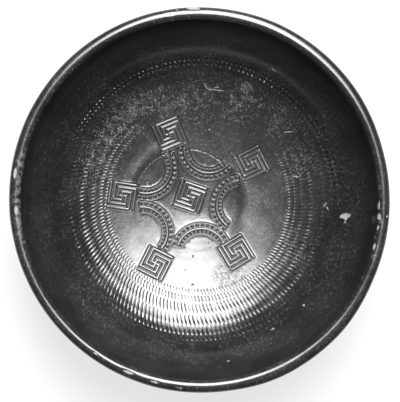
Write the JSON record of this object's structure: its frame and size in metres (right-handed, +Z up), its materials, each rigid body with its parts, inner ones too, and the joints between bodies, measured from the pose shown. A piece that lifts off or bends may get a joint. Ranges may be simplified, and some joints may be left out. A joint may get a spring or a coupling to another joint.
{
  "type": "bowl",
  "caption": "Round wheel-thrown black-gloss pottery bowl on a ring foot, with a rounded lip and stamped meander squares and beaded arcs on its floor.",
  "frame": {"origin": "on the wheel axis, in the plane the ring foot stands on", "axes": "+Z up along the wheel axis; +Y towards the top of the picture, so the first meander square lies above and left of the axis; +X to its right"},
  "size_m": [0.1688, 0.171, 0.058],
  "materials": {
    "black_gloss": "worn black gloss over fired clay"
  },
  "bodies": {
    "root": {"bowl": "black_gloss"}
  },
  "joints": []
}
